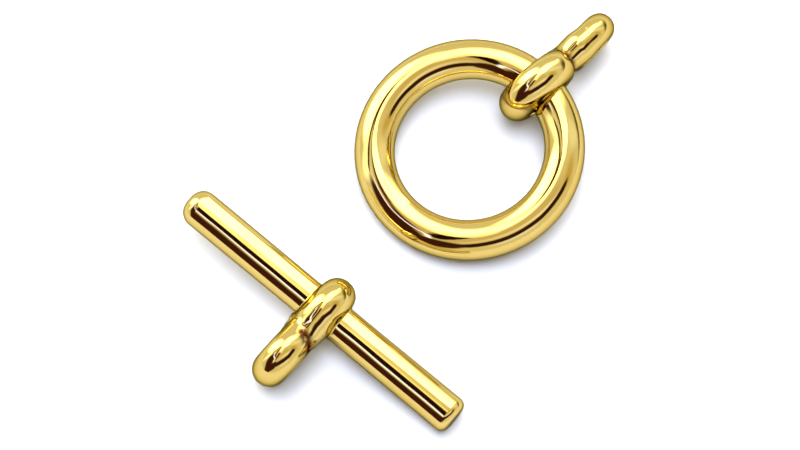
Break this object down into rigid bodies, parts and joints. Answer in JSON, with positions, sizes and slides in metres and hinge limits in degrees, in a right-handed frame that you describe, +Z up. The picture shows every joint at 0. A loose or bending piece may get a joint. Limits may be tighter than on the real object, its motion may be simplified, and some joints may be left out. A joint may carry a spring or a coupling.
{
  "type": "toggle clasp",
  "caption": "Toggle clasp lying unfastened: a round-wire ring with a loose end link, and a straight bar with an end link soldered across its middle.",
  "frame": {"origin": "on the surface that the clasp lies on, under the middle of the whole seen from above", "axes": "+Z up from the surface; +X to the right and +Y away from a person who sees the bar at the lower left and the ring at the upper right"},
  "size_m": [0.0261, 0.0265, 0.0054],
  "materials": {
    "polished_gold": "polished yellow gold plating"
  },
  "bodies": {
    "clasp": {"toggle_ring": "polished_gold", "toggle_bar": "polished_gold"},
    "ring_link": {"ring_link": "polished_gold"}
  },
  "joints": [
    {"name": "ring_link_swing", "type": "hinge", "parent": "clasp", "child": "ring_link", "pos_m": [0.00824, 0.0083, 0.00269], "axis": [-0.6477, 0.7363, 0.196], "continuous": true}
  ]
}
